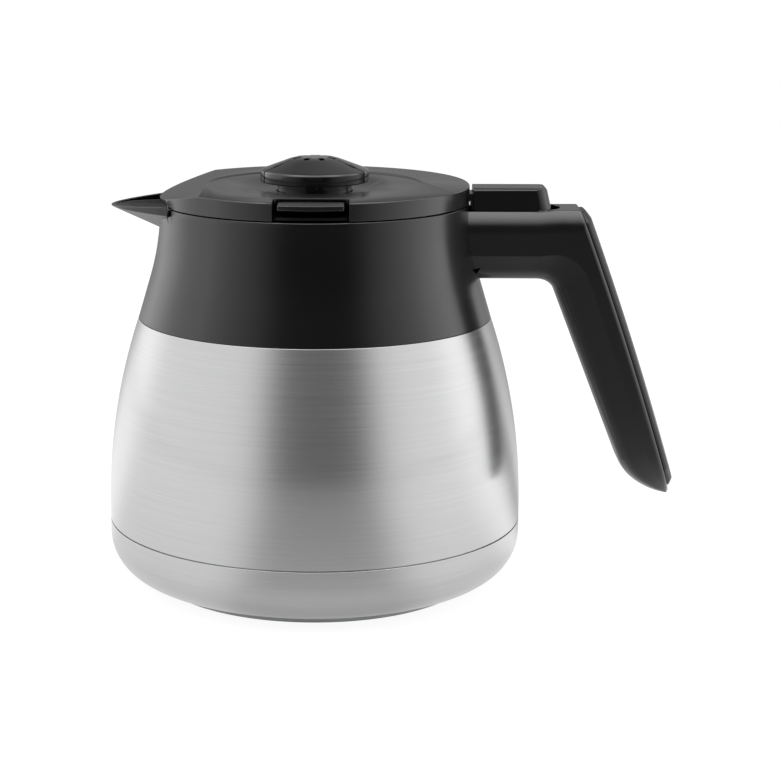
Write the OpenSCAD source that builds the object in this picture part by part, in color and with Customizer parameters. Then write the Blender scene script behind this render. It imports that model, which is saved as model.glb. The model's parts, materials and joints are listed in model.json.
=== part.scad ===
// Thermal carafe with flip lid. A double-wall steel body carries a plastic collar with
// a pouring spout and an open-ended handle. The lid turns on a pin in the handle's arm
// and is opened by a thumb lever that sinks into the arm. A sprung brew-through valve
// sits in the middle of the lid, and two sprung release tabs sit in its skirt.
// Origin at the centre of the base, +Z up, spout towards -X, handle towards +X.

/* [Steel body] */
// Largest radius of the body
body_r = 80.2; // [77:0.1:84]
// Height at which the body starts to draw in
belly_z = 30; // [28:0.5:34]
// Radius of the long arc of the side
side_arc_r = 229; // [215:1:245]
// Radius of the round between side and base
corner_r = 17; // [15:0.5:19]
// Height of the seam between outer shell and base cup
seam_z = 25.5; // [23:0.5:27.5]
// Width of the seam groove
seam_gap = 0.5; // [0.3:0.1:0.8]
// Thickness of the steel sheet
sheet = 0.8; // [0.6:0.1:1]
// Gap between outer shell and inner flask
vacuum_gap = 4.2; // [3.5:0.1:5]
// Height of the foot ring
foot_h = 3; // [2.5:0.1:4]
// Outer radius of the foot ring where it stands
foot_r = 62.1; // [60:0.1:63]
// Width of the foot ring
foot_w = 8; // [6:0.5:12]

/* [Neck] */
// Outer radius of the steel neck
neck_r = 38; // [37:0.1:39]
// Height of the top of the outer neck
neck_top = 131; // [130:0.1:132]
// Radius of the round of the steel shoulder
shoulder_arc = 10; // [9:0.5:11]
// Height at which that round starts
shoulder_z = 112; // [111:0.5:113]
// Thickness of the gasket on the flask's lip
gasket_t = 1; // [0.8:0.1:1.2]

/* [Collar] */
// Height of the collar's lower edge
collar_z = 104.4; // [102:0.1:106]
// Height of the collar's rim
rim_z = 148; // [146.5:0.1:149.5]
// Outer radius of the rim
rim_r = 59; // [58:0.1:60]
// Height of the waist's round below the rim
waist_h = 27.9; // [26:0.1:30]
// Wall of the collar
collar_wall = 2.4; // [2:0.1:2.8]

/* [Spout] */
// Reach of the spout's tip beyond the collar's rim
spout_out = 18.9; // [17:0.1:21]
// Height of the tip above the base
spout_tip_z = 147.1; // [146:0.1:148]
// Rise of the spout's rim from tip to root
spout_rise = 1.8; // [1:0.1:2.2]
// Depth of the lip band at the root
spout_band = 2.9; // [2:0.1:3.5]
// Depth of the keel under the rim at the root
spout_keel = 11; // [9.5:0.1:12]
// Distance from tip to root
spout_len = 24; // [22:0.5:26]
// Half width of the spout at its root
spout_half_w = 26; // [22:0.5:28]
// Wall of the spout
spout_wall = 1.7; // [1.4:0.1:2.2]

/* [Lid] */
// Thickness of the lid from skirt edge to top
lid_h = 6.8; // [6.4:0.1:7.4]
// Gap between the collar's rim and the lid
lid_gap = 0.4; // [0.3:0.05:0.6]
// Wall of the lid's skirt
skirt_w = 2; // [1.6:0.1:2.4]
// Thickness of the lid's top
top_t = 2.2; // [1.8:0.1:2.3]
// Angle of the bevel over the spout
nose_angle = 14.5; // [12:0.5:15]
// Distance from the axis at which the bevel starts
nose_x = 41; // [39:0.5:44]
// Half angle of the raised skirt over the spout
nose_half_angle = 22; // [18:1:24]
// Radius of the shallow dish round the dome
dish_r = 30; // [28:0.5:31]

/* [Plug] */
// Radius of the plug above its taper
plug_r = 33; // [32:0.1:33.6]
// Radius of the plug's lower end
plug_low_r = 31; // [29:0.1:31.5]
// Height of the plug's lower end
plug_z = 126; // [125:0.1:127]
// Radius of the brewing channel through the plug
channel_r = 14.6; // [14:0.1:15.4]

/* [Release tabs] */
// Width of a tab
tab_w = 24; // [20:0.5:26]
// Thickness of a tab
tab_t = 2; // [1.6:0.1:2.2]
// Clear width of the notch on each side of the tab
notch_side = 1.75; // [1.2:0.05:2.5]
// Depth of the notch into the lid
notch_depth = 12.6; // [11.5:0.1:13]
// Travel of a tab
tab_travel = 2.5; // [1.5:0.1:2.5]

/* [Valve] */
// Radius of the dome
dome_r = 20.7; // [20:0.1:21.2]
// Height of the dome's rim band
dome_band = 4.4; // [4:0.1:5]
// Height of the dome above its band
dome_rise = 4.8; // [4:0.1:5.4]
// Number of brewing slots in the dome
brew_slots = 8; // [6:1:9]
// Half angle of the dome's front petal
petal_half_angle = 66; // [60:1:70]
// Travel of the valve
valve_travel = 3; // [2:0.1:3]
// Radius of the valve stem
stem_r = 2; // [1.6:0.1:2.2]

/* [Handle] */
// Height of the arm's underside
arm_low_z = 119.8; // [119:0.1:121]
// Height of the arm's top beside the lever
arm_top_z = 145.6; // [145:0.1:145.8]
// Height of the crown behind the lever
crown_z = 146.3; // [146:0.1:147.5]
// Half width of the arm
arm_half_w = 12; // [11.5:0.1:13]
// Half width of the grip
grip_half_w = 12.8; // [12:0.1:14]
// Radius of the round inside the handle's corner
crook_r = 7.9; // [6:0.1:9]
// Thickness of the back cover
cover_t = 3.4; // [2.5:0.1:4]
// Half width of the back cover
cover_half_w = 9.8; // [9:0.1:10.4]

/* [Hinge and lever] */
// Distance of the hinge pin beyond the lid's edge
hinge_out = 5.5; // [5:0.1:6]
// Height of the hinge pin
hinge_z = 140.5; // [140:0.1:141]
// Radius of the hinge pin
pin_r = 1.5; // [1.2:0.1:1.8]
// Width of the thumb lever
lever_w = 16; // [14:0.1:16.4]
// Reach of the lever beyond the lid's edge, at its foot
lever_len = 31.3; // [28:0.1:33]

/* [Hidden] */

$fn = 96;
eps = 0.01;
seat = 0.05;
snug = 0.15;
loose = 0.3;

steel = "silver";
black = "#26272a";
gloss = "#121214";
grey = "#4a4b4e";

function mix(a, b, u) = a + (b - a) * u;

// Steel body: the side arc and the corner arc, moved inwards by t
side_c = body_r - side_arc_r;
corner_z = foot_h + corner_r;
function side_r(z, t) = z < belly_z ? body_r - t
    : side_c + sqrt(pow(side_arc_r - t, 2) - pow(z - belly_z, 2));
side_steps = 26;
function side_path(t, z0, z1) =
    [for (i = [0:side_steps]) let (z = z0 + (z1 - z0) * i / side_steps) [side_r(z, t), z]];
corner_steps = 14;
function corner_path(t) = [for (i = [0:corner_steps]) let (a = -90 + 90 * i / corner_steps)
    [body_r - corner_r + (corner_r - t) * cos(a), corner_z + (corner_r - t) * sin(a)]];

// Collar: a round that is upright at the rim, and a cone from there to the lower edge.
// The lean of the cone is found by halving; t moves the line inwards.
collar_r = side_r(collar_z, 0);
cone_h = rim_z - waist_h - collar_z;
function lean_reach(a) = waist_h * tan(a / 2) + cone_h * tan(a);
function find_lean(low, high, n) = let (mid = (low + high) / 2) n == 0 ? mid
    : lean_reach(mid) > collar_r - rim_r ? find_lean(low, mid, n - 1) : find_lean(mid, high, n - 1);
lean = find_lean(0.5, 75, 40);
waist_arc = waist_h / sin(lean);
waist_c = rim_r + waist_arc;
waist_steps = 12;
function collar_low_r(t) = collar_r - t / cos(lean);
function collar_path(t) = concat([[collar_low_r(t), collar_z]],
    [for (i = [0:waist_steps]) let (a = 180 + lean * (1 - i / waist_steps))
        [waist_c + (waist_arc + t) * cos(a), rim_z + (waist_arc + t) * sin(a)]]);
function waist_r(z, t) = waist_c - sqrt(pow(waist_arc + t, 2) - pow(rim_z - z, 2));

// Steel shoulder and neck under the collar, moved inwards by t, with neck radius r
shoulder_low_r = collar_low_r(collar_wall + snug);
shoulder_r = shoulder_low_r - tan(lean) * (shoulder_z - collar_z);
shoulder_c = [shoulder_r, shoulder_z] - shoulder_arc * [cos(lean), sin(lean)];
shoulder_top = shoulder_c[1] + shoulder_arc;
shoulder_steps = 8;
neck_foot = 3;
function shoulder_path(t, r) = concat(
    [for (i = [0:shoulder_steps]) let (a = mix(lean, 90, i / shoulder_steps))
        shoulder_c + (shoulder_arc - t) * [cos(a), sin(a)]],
    [[r + neck_foot, shoulder_top - t + neck_foot / 2],
     [r, shoulder_top - t + neck_foot * 1.5],
     [r, neck_top]]);
function reversed(p) = [for (i = [len(p) - 1:-1:0]) p[i]];

flask_t = sheet + vacuum_gap;
weld_gap = 0.4;
flask_neck_r = neck_r - sheet - weld_gap;
mouth_r = flask_neck_r - sheet;
lip_z = neck_top + seat + sheet;
seat_z = lip_z + gasket_t + 2 * seat;
throat_r = mouth_r + 0.2;
throat_h = 2;
sleeve_w = 2.2;
rim_round = 0.3;
sleeve_depth = 4;
bowl_z = rim_z - 9.4;
bowl_t = 2.2;
ledge_z = bowl_z - bowl_t - seat;
ledge_w = 2;
ledge_t = 1.4;
base_punt = 2.5;
base_punt_r = 44;
seal_r = 7;
seal_t = 1;
lap_h = 5;
lap_t = 0.6;

lid_z = rim_z + lid_gap;
lid_top = lid_z + lid_h;
cover_in_z = lid_top - top_t;
lid_r = rim_r;
spout_reach = rim_r + spout_out;
lid_step = 0.4;
lid_step_r = lid_r - 18;
dish_low_r = 22;
dome_lift = 0.8;
dish_low_z = lid_top + dome_lift - valve_travel - 0.6;
nose_skirt_z = lid_z + 0.9;
flange_r = lid_r - skirt_w - 1;
flange_z = lid_z + 0.1;
flange_t = 1;
neck_hole_r = channel_r;
dome_neck_r = channel_r - 0.4;
notch_y = lid_r - notch_depth;
notch_w = tab_w + 2 * notch_side;
tab_top = lid_top - 1;
tab_low = tab_top - tab_t;
tab_back = notch_y + 0.2;
tab_stem_w = 12;
tab_stem_top = tab_low + 0.2;
tab_stem_low = flange_z + flange_t + 0.8;
tab_stem_end = notch_y - 8.4;
stop_y = tab_stem_end - 5;
stop_t = 1.4;
screw_r = 1.5;
screw_fit = 0.05;
lid_screw_r = lid_r - 9;
lid_screw_grip = 2.2;
lid_head_t = 1.4;
lid_screw_angles = [38, 142, 218, 322];

dome_z = lid_top + dome_lift;
dome_wall = 1.8;
dome_neck_h = 9.5;
dome_top = dome_z + dome_band + dome_rise;
disc_t = 2;
disc_r = 10.5;
port_r = 8;
plug_floor = 1.6;
plug_lip_w = 1.2;
plug_lip_top = flange_z + flange_t + seat + 0.4;
channel_wall = 1.6;
guide_z = plug_z + 9;
guide_t = 3;
guide_ledge = 1.4;
gasket_z = seat_z + 0.2;
gasket_h = 2.2;
gasket_groove = 0.8;
spring_wire_r = 0.5;
spring_r = 4.2;
tab_wire_r = 0.25;
tab_spring_r = 1;

arm_wall = 3.5;
slot_half_w = arm_half_w - arm_wall;
lever_reach = lid_r + lever_len;
lever_swing = 2.9;
slot_end = lever_reach + lever_swing;
slot_round = 7;
slot_floor = arm_low_z + 2.4;
hinge_x = lid_r + hinge_out;
boss_top = 131.7;
knuckle_r = 4;
pin_half = slot_half_w + 2.2;
running = 0.08;
screw_y = 5;
screw_z = 127;
pad_t = 2.8;
pad_x = waist_r(screw_z, collar_wall) - pad_t;
screw_depth = 13.2;
screw_tip = pad_x + pad_t + screw_depth;
screw_end_gap = 1.2;
boss_wall = 2;
boss_end = screw_tip + screw_end_gap + boss_wall;
head_r = 2.8;
head_t = 1.8;

notch_round = 1.5;
notch_wall = 1.2;
arm_w = 12;
arm_t = 5.4;
arm_drop = 3.2;
arm_skirt = 2.6;
lever_gap = 1.3;
lever_top = lid_top - 1;
lever_round = 1.6;
lever_corner = 5.5;
lever_wall = 1.8;
lever_tuck = 0.9;
lever_foot_z = arm_top_z - lever_tuck;
lever_rib_x = 74;

// A revolved solid
module turned(points) {
    rotate_extrude() polygon(points);
}

// A ring or a disc between two heights
module ring(r_in, r_out, z0, z1) {
    translate([0, 0, z0]) difference() {
        cylinder(r = r_out, h = z1 - z0);
        if (r_in > 0) translate([0, 0, -1]) cylinder(r = r_in, h = z1 - z0 + 2);
    }
}

// A plain cylinder between two heights
module cylinder_at(r, z0, z1) {
    translate([0, 0, z0]) cylinder(r = r, h = z1 - z0, $fn = 64);
}

// A box given by its low and high corners
module block(low, high) {
    translate(low) cube(high - low);
}

module outer_shell() {
    color(steel) turned(concat(
        side_path(0, seam_z + seam_gap / 2, collar_z - snug),
        [[shoulder_low_r, collar_z - snug]],
        shoulder_path(0, neck_r),
        reversed(shoulder_path(sheet, neck_r - sheet)),
        [[shoulder_low_r - sheet, collar_z - snug - sheet]],
        reversed(side_path(sheet, seam_z + seam_gap / 2, collar_z - snug - sheet))));
}

module base_cup() {
    lip = seam_z - seam_gap / 2;
    lap_r = body_r - sheet - snug;
    color(steel) turned(concat(
        [[0, foot_h + base_punt], [base_punt_r, foot_h + base_punt],
         [base_punt_r + base_punt, foot_h]],
        corner_path(0),
        [[body_r, lip], [lap_r, lip], [lap_r, seam_z + lap_h],
         [lap_r - lap_t, seam_z + lap_h], [lap_r - lap_t, corner_z + 2]],
        reversed(corner_path(sheet)),
        [[base_punt_r + base_punt + sheet / 2, foot_h + sheet],
         [base_punt_r + sheet / 2, foot_h + base_punt + sheet],
         [0, foot_h + base_punt + sheet]]));
}

module foot_ring() {
    top = foot_h - 0.2;
    color("#b9bcbe") turned([[foot_r - foot_w, 0], [foot_r - 0.6, 0], [foot_r, 0.6],
        [foot_r + 0.5, top], [foot_r - foot_w, top]]);
}

module vacuum_seal() {
    z = foot_h + base_punt - seat;
    color(steel) turned([[0, z - seal_t], [seal_r - 1, z - seal_t], [seal_r, z - 0.4], [seal_r, z], [0, z]]);
}

module inner_flask() {
    z = foot_h + flask_t;
    side_top = collar_z - 4;
    color(steel) turned(concat(
        [[0, z]], corner_path(flask_t), side_path(flask_t, belly_z, side_top),
        shoulder_path(flask_t, flask_neck_r),
        [[flask_neck_r, neck_top + seat], [neck_r, neck_top + seat], [neck_r, lip_z], [mouth_r, lip_z]],
        reversed(shoulder_path(flask_t + sheet, mouth_r)),
        reversed(side_path(flask_t + sheet, belly_z, side_top)),
        reversed(corner_path(flask_t + sheet)), [[0, z + sheet]]));
}

module neck_gasket() {
    color("#3a3a3a") ring(mouth_r + 0.6, neck_r + snug, lip_z + seat, lip_z + seat + gasket_t);
}

// The spout's rim in plan: a parabola from the tip, drawn in by a share and a distance
function spout_plan(share, back) = [for (i = [-12:12]) let (w = i / 12)
    [back + spout_len * w * w, share * spout_half_w * w]];

// A wedge from the rim of the spout down to its keel
module spout_wedge(share, back, lift, keel_lift, keel_in) {
    rim_tilt = atan(spout_rise / spout_len);
    band_tilt = atan((spout_band - spout_rise) / spout_len);
    root_z = spout_tip_z + spout_rise;
    hull() {
        translate([-spout_reach, 0, spout_tip_z + lift]) rotate([0, -rim_tilt, 0])
            linear_extrude(eps) polygon(spout_plan(share, back));
        translate([-spout_reach, 0, spout_tip_z - 0.3]) rotate([0, band_tilt, 0])
            linear_extrude(eps) polygon(spout_plan(share, back));
        for (x = [rim_r, keel_in])
            translate([-x, 0, root_z - spout_keel + keel_lift]) cube([eps, 1.5, eps], center = true);
    }
}

module collar_ring() {
    inner = collar_path(collar_wall);
    step_r = waist_r(ledge_z, collar_wall);
    foot_z = ledge_z - ledge_t - ledge_w;
    inner_rim = rim_r - collar_wall;
    turned(concat(
        [for (p = collar_path(0)) if (p[1] < rim_z - rim_round) p],
        [[rim_r, rim_z - rim_round], [rim_r - rim_round, rim_z], [inner_rim + rim_round, rim_z]],
        reversed([for (p = inner) if (p[1] < rim_z - rim_round && p[1] > ledge_z + 0.5) p]),
        [[step_r, ledge_z], [step_r - ledge_w, ledge_z], [step_r - ledge_w, ledge_z - ledge_t],
         [waist_r(foot_z, collar_wall), foot_z]],
        reversed([for (p = inner) if (p[1] < foot_z - 0.5) p])));
}

// The funnel inside the collar: it leads the drink to the spout and sits on the flask's neck
module pouring_ring() {
    edge = rim_r - collar_wall - snug;
    sleeve_r = neck_r + loose;
    color(black) turned([[edge, bowl_z + 1.6], [edge - 1.2, bowl_z + 0.4], [edge - 3, bowl_z],
        [throat_r + 3, seat_z + throat_h + 1], [throat_r, seat_z + throat_h], [throat_r, seat_z],
        [sleeve_r, seat_z], [sleeve_r, neck_top - sleeve_depth],
        [sleeve_r + sleeve_w, neck_top - sleeve_depth], [sleeve_r + sleeve_w, seat_z + 0.6],
        [edge - ledge_w, bowl_z - bowl_t], [edge, bowl_z - bowl_t]]);
}

module collar() {
    color(black) difference() {
        union() {
            collar_ring();
            difference() {
                spout_wedge(1, 0, 0, 0, rim_r - 3);
                translate([0, 0, bowl_z - 20]) cylinder(r = rim_r - collar_wall, h = 60);
            }
            block([pad_x, -screw_y - 4, screw_z - 4.5], [pad_x + pad_t + 0.2, screw_y + 4, screw_z + 4.5]);
        }
        spout_wedge(0.94, spout_wall, 6, 2.4, rim_r - 9);
        translate([0, 0, rim_z]) cylinder(r = rim_r + 0.35, h = 20);
        for (y = [-screw_y, screw_y]) translate([pad_x - 1, y, screw_z]) rotate([0, 90, 0])
            cylinder(r = screw_r + screw_fit, h = 12, $fn = 32);
    }
}

// Handle: the shell's back line, and slices from the inner edge to that line
back_r = lever_reach + 13.55;
back_z = 138.2;
back_drop = 100;
back_run = 37.6;
back_bow = 4;
function back_x(z) = let (s = (back_z - z) / back_drop) back_r + back_run * s - back_bow * s * s;
grip_slope = 0.395;
grip_low = [back_r + 13.45, 49.9];
tip_bend = [back_r + 18.15, 37.9];
tip_end = [back_r + 33.55, 33.4];
crook_end_a = atan(grip_slope);
crook_c = [back_r - 19.45, arm_low_z - crook_r];
crook_end = crook_c + crook_r * [cos(crook_end_a), sin(crook_end_a)];
crook_out_z = 122;
grip_out_z = 55.8;
tip_out_z = 35.2;
crown_x = lever_reach - 7.3;
crown_run = 11;
function ease(u) = u <= 0 ? 0 : u >= 1 ? 1 : u * u * (3 - 2 * u);
function arm_top(x) = arm_top_z + (crown_z - arm_top_z) * ease((x - crown_x) / crown_run);

arm_x = [rim_r - 7, rim_r + 3, rim_r + 14, crook_c[0] - 4.4];
crook_steps = 8;
crown_end = back_x(crown_z);
crown_part = 0.5;
// Each slice is the inner point, the outer point, the share of grip section, the half width
arm_slices = [for (x = arm_x) [[x, arm_low_z], [x, arm_top(x)], 0, arm_half_w]];
crook_slices = [for (i = [0:crook_steps]) let (u = i / crook_steps,
        a = 90 + (crook_end_a - 90) * u,
        x = mix(crook_c[0], crown_end, min(1, u / crown_part)),
        z = mix(crown_z, crook_out_z, (u - crown_part) / (1 - crown_part)))
    [crook_c + crook_r * [cos(a), sin(a)],
     u < crown_part ? [x, arm_top(x)] : [back_x(z), z],
     ease(u), mix(arm_half_w, grip_half_w, u)]];
grip_steps = 6;
grip_slices = [for (i = [1:grip_steps]) let (u = i / grip_steps, z = mix(crook_out_z, grip_out_z, u))
    [mix(crook_end, grip_low, u), [back_x(z), z], 1, grip_half_w]];
tip_steps = 6;
tip_narrow = 0.45;
tip_slices = [for (i = [1:tip_steps]) let (u = i / tip_steps, z = mix(grip_out_z, tip_out_z, u))
    [mix(mix(grip_low, tip_bend, u), mix(tip_bend, tip_end, u), u), [back_x(z), z], 1,
     grip_half_w * (1 - tip_narrow * u * u)]];

// Half sections: share of the depth from the inner edge, and share of the half width.
// A crease, the fifth point, parts the slanted inner facet from the upright side.
arm_section = [[0, 0.6], [0.04, 0.76], [0.11, 0.84], [0.23, 0.92], [0.36, 1], [0.54, 1], [0.72, 1],
    [0.84, 0.955], [0.94, 0.84], [1, 0.64]];
grip_section = [[0, 0.28], [0.05, 0.54], [0.17, 0.77], [0.42, 0.92], [0.7, 1], [0.77, 1], [0.84, 0.995],
    [0.91, 0.98], [0.97, 0.95], [1, 0.92]];
function slice_ring(s) = let (half = [for (k = [0:len(arm_section) - 1])
        let (p = mix(arm_section[k], grip_section[k], s[2]), q = mix(s[0], s[1], p[0]))
            [q[0], p[1] * s[3], q[1]]])
    concat(half, [for (p = reversed(half)) [p[0], -p[1], p[2]]]);

// A closed skin over rings that all have the same number of points
module loft(rings) {
    n = len(rings[0]);
    m = len(rings);
    points = [for (ring = rings) each ring];
    sides = [for (i = [0:m - 2], k = [0:n - 1]) let (a = i * n + k, b = i * n + (k + 1) % n)
        each [[a, b + n, b], [a, a + n, b + n]]];
    first = [for (k = [0:n - 1]) k];
    last = [for (k = [n - 1:-1:0]) (m - 1) * n + k];
    polyhedron(points, concat([first], sides, [last]), convexity = 6);
}

// The band along the handle's back between two depths and two heights
function back_normal(z) = let (dx = back_x(z - 0.5) - back_x(z + 0.5)) [1, dx] / norm([1, dx]);
function back_point(z, d) = [back_x(z), z] + back_normal(z) * d;
module back_band(d0, d1, z0, z1, half_w) {
    outline = concat([for (i = [0:6]) back_point(mix(z0, z1, i / 6), d0)],
        [for (i = [6:-1:0]) back_point(mix(z0, z1, i / 6), d1)]);
    rotate([90, 0, 0]) linear_extrude(2 * half_w, center = true) polygon(outline);
}

// The open channel in the arm, with its round end behind the lever
module channel_plan(start) {
    bend = slot_end - slot_round;
    flat_w = slot_half_w - slot_round;
    translate([start, -slot_half_w]) square([bend - start, 2 * slot_half_w]);
    translate([start, -flat_w]) square([slot_end - start, 2 * flat_w]);
    for (y = [-flat_w, flat_w]) translate([bend, y]) circle(r = slot_round, $fn = 64);
}
module channel_cut(start, low) {
    translate([0, 0, low]) linear_extrude(crown_z + 5 - low) channel_plan(start);
}

pocket_low = 56;
pocket_high = 128;
pocket_half_w = 7;
pocket_depth = 11;
tongue_depth = 2.5;

module handle_shell() {
    color(black) difference() {
        loft([for (s = concat(arm_slices, crook_slices, grip_slices, tip_slices)) slice_ring(s)]);
        turned(concat([[0, collar_z - 4], [collar_low_r(-snug), collar_z - 4]],
            collar_path(-snug), [[rim_r + snug, rim_z + 10], [0, rim_z + 10]]));
        channel_cut(boss_end, slot_floor);
        channel_cut(arm_x[0], boss_top);
        back_band(-pocket_depth, 1, pocket_low, pocket_high, pocket_half_w);
        translate([hinge_x, 0, hinge_z]) rotate([90, 0, 0])
            cylinder(r = pin_r + screw_fit, h = 2 * pin_half + 0.2, center = true, $fn = 48);
        for (y = [-screw_y, screw_y]) translate([arm_x[0], y, screw_z]) rotate([0, 90, 0])
            cylinder(r = screw_r + screw_fit, h = screw_tip + screw_end_gap - arm_x[0], $fn = 32);
    }
}

module handle_cover() {
    steps = 12;
    z_top = crown_z - 0.7;
    z_low = 36.8;
    section = [[0, 1], [0.45, 1], [0.8, 0.85], [1, 0.55]];
    function swell(u) = min(1, 0.15 + u / 0.035, 0.45 + (1 - u) / 0.06);
    function cover_ring(u) = let (z = mix(z_top, z_low, u), w = cover_half_w * min(1, 0.7 + u * 8, 0.6 + (1 - u) * 6),
        half = [for (p = section) let (q = back_point(z, snug + p[0] * (cover_t - snug) * swell(u)))
            [q[0], p[1] * w, q[1]]])
        concat(half, [for (p = reversed(half)) [p[0], -p[1], p[2]]]);
    stations = [0, 0.015, 0.03, 0.05, 0.1, 0.2, 0.35, 0.5, 0.65, 0.8, 0.9, 0.94, 0.975, 1];
    color(black) {
        loft([for (u = stations) cover_ring(u)]);
        back_band(-tongue_depth, snug + 0.5, pocket_low + loose, pocket_high - loose, pocket_half_w - snug);
    }
}

module handle_screws() {
    color(steel) for (y = [-screw_y, screw_y]) translate([pad_x - seat, y, screw_z]) rotate([0, 90, 0]) {
        cylinder(r = screw_r, h = pad_t + screw_depth, $fn = 32);
        translate([0, 0, -head_t]) cylinder(r = head_r, h = head_t, $fn = 32);
    }
}

module hinge_pin() {
    color(steel) translate([hinge_x, 0, hinge_z]) rotate([90, 0, 0])
        cylinder(r = pin_r, h = 2 * pin_half, center = true, $fn = 48);
}

// The part of space over the lid's bevelled nose, lowered by t
module nose_cut(t) {
    translate([-nose_x, -lid_r - 5, lid_top - t]) rotate([0, -nose_angle, 0])
        translate([-60, 0, 0]) cube([60, 2 * lid_r + 10, 30]);
}

// The open space of a notch whose back edge lies at y = -deep, with rounded inner corners
module notch(deep, side, low) {
    translate([-side, -lid_r - 5, low]) linear_extrude(30) union() {
        square([2 * side, lid_r + 5 - deep - notch_round]);
        translate([notch_round, 0]) square([2 * (side - notch_round), lid_r + 5 - deep]);
        for (x = [notch_round, 2 * side - notch_round])
            translate([x, lid_r + 5 - deep - notch_round]) circle(r = notch_round, $fn = 32);
    }
}

// Both sides of the lid carry a notch and a tab
module both_sides() {
    children();
    mirror([0, 1, 0]) children();
}

module lid_skin() {
    turned([[0, lid_z], [lid_r, lid_z], [lid_r, lid_top - 0.6], [lid_r - 0.2, lid_top - 0.2],
        [lid_r - 0.6, lid_top], [lid_step_r, lid_top], [lid_step_r - lid_step, lid_top - lid_step],
        [dish_r, lid_top - lid_step], [dish_low_r, dish_low_z], [0, dish_low_z]]);
}

module lid_hollow() {
    difference() {
        turned([[0, lid_z - 1], [lid_r - skirt_w, lid_z - 1], [lid_r - skirt_w, cover_in_z],
            [dish_r + 1, cover_in_z], [dish_low_r + 1, dish_low_z - top_t + 0.4],
            [0, dish_low_z - top_t + 0.4]]);
        nose_cut(top_t);
    }
}

module hinge_arm() {
    web = hinge_x - knuckle_r + 0.2;
    block([lid_r - skirt_w - 1, -arm_w / 2, lid_z + 0.8], [web + arm_t, arm_w / 2, lid_top - arm_drop]);
    block([web, -arm_w / 2, hinge_z], [web + arm_t, arm_w / 2, lid_top - arm_drop]);
    block([lid_r + lid_gap, -arm_w / 2, rim_z - arm_skirt], [web + 1, arm_w / 2, lid_z + 1]);
    translate([hinge_x, 0, hinge_z]) rotate([90, 0, 0]) cylinder(r = knuckle_r, h = lever_w, center = true);
}

module lid_cover() {
    color(grey) difference() {
        union() {
            difference() {
                lid_skin();
                lid_hollow();
            }
            intersection() {
                both_sides() difference() {
                    notch(notch_y - notch_wall, notch_w / 2 + notch_wall, flange_z + flange_t + seat);
                    translate([0, 0, -1]) notch(notch_y - tab_travel - snug, notch_w / 2, lid_z);
                }
                ring(0, lid_r - 0.5, lid_z, cover_in_z + eps);
            }
            both_sides() block([-3, -stop_y - stop_t, plug_lip_top + seat], [3, -stop_y, cover_in_z + eps]);
            for (a = lid_screw_angles) rotate(a) translate([lid_screw_r, 0, flange_z + flange_t + seat])
                cylinder(r = screw_r + 1.7, h = cover_in_z - flange_z - flange_t, $fn = 32);
            hinge_arm();
        }
        nose_cut(0);
        cylinder(r = neck_hole_r, h = 400);
        both_sides() {
            notch(notch_y, notch_w / 2, lid_z - 1);
            block([-tab_w / 2 - loose, -notch_y - 1, tab_low - 0.2],
                [tab_w / 2 + loose, -notch_y + tab_travel + loose, tab_top + 0.2]);
            block([-tab_stem_w / 2 - loose, -notch_y - 1, tab_stem_low - 0.2],
                [tab_stem_w / 2 + loose, -stop_y - stop_t - 4, tab_stem_top + 0.2]);
        }
        intersection() {
            ring(0, lid_r + 1, lid_z - 1, nose_skirt_z);
            rotate(180) linear_extrude(400) polygon([[0, 0],
                2 * lid_r * [cos(nose_half_angle), -sin(nose_half_angle)],
                2 * lid_r * [cos(nose_half_angle), sin(nose_half_angle)]]);
        }
        for (a = lid_screw_angles) rotate(a) translate([lid_screw_r, 0, lid_z - 1])
            cylinder(r = screw_r + screw_fit, h = 1 + flange_z - lid_z + flange_t + lid_screw_grip + loose, $fn = 32);
        translate([hinge_x, 0, hinge_z]) rotate([90, 0, 0])
            cylinder(r = pin_r + running, h = lever_w + 2, center = true, $fn = 48);
    }
}

// The plate that closes the lid from below; the plug hangs in it by its lip
module lid_base() {
    top = flange_z + flange_t;
    color(black) difference() {
        ring(plug_r + snug, flange_r, flange_z, top);
        block([-lid_r, -lid_r, flange_z - 1], [-nose_x - 8, lid_r, top + 1]);
        for (a = lid_screw_angles) rotate(a) translate([lid_screw_r, 0, flange_z - 1])
            cylinder(r = screw_r + screw_fit, h = flange_t + 2, $fn = 32);
    }
}

module lid_plug() {
    top = flange_z + flange_t;
    taper = gasket_z - loose;
    floor_z = plug_z + plug_floor;
    color(black) turned([[channel_r, floor_z], [port_r, floor_z], [port_r, plug_z],
        [plug_low_r, plug_z], [plug_r - gasket_groove, taper],
        [plug_r - gasket_groove, gasket_z + gasket_h], [plug_r, gasket_z + gasket_h + 0.2],
        [plug_r, top + seat], [plug_r + plug_lip_w, top + seat], [plug_r + plug_lip_w, plug_lip_top],
        [plug_r - 2, plug_lip_top], [plug_r - 2, gasket_z + 2],
        [plug_low_r - 2, floor_z], [channel_r + channel_wall, floor_z],
        [channel_r + channel_wall, top], [channel_r, top], [channel_r, guide_z],
        [channel_r - guide_ledge, guide_z], [channel_r - guide_ledge, guide_z - 1.2],
        [channel_r, guide_z - 1.2 - guide_ledge]]);
}

module lid_insulation() {
    color("#e8e2d0") ring(channel_r + channel_wall + loose, plug_low_r - 2.4,
        plug_z + plug_floor + loose, flange_z + flange_t - 0.6);
}

module lid_gasket() {
    r = plug_r - gasket_groove + seat;
    color("#5c5d60") turned([[r, gasket_z], [throat_r - loose, gasket_z + 0.5],
        [throat_r - loose, gasket_z + 1.5], [r, gasket_z + gasket_h - seat]]);
}

module lid_screws() {
    color(steel) for (a = lid_screw_angles) rotate(a) translate([lid_screw_r, 0, flange_z - seat]) {
        cylinder(r = screw_r, h = flange_t + lid_screw_grip, $fn = 32);
        translate([0, 0, -lid_head_t]) cylinder(r = head_r, h = lid_head_t, $fn = 32);
    }
}

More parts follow.
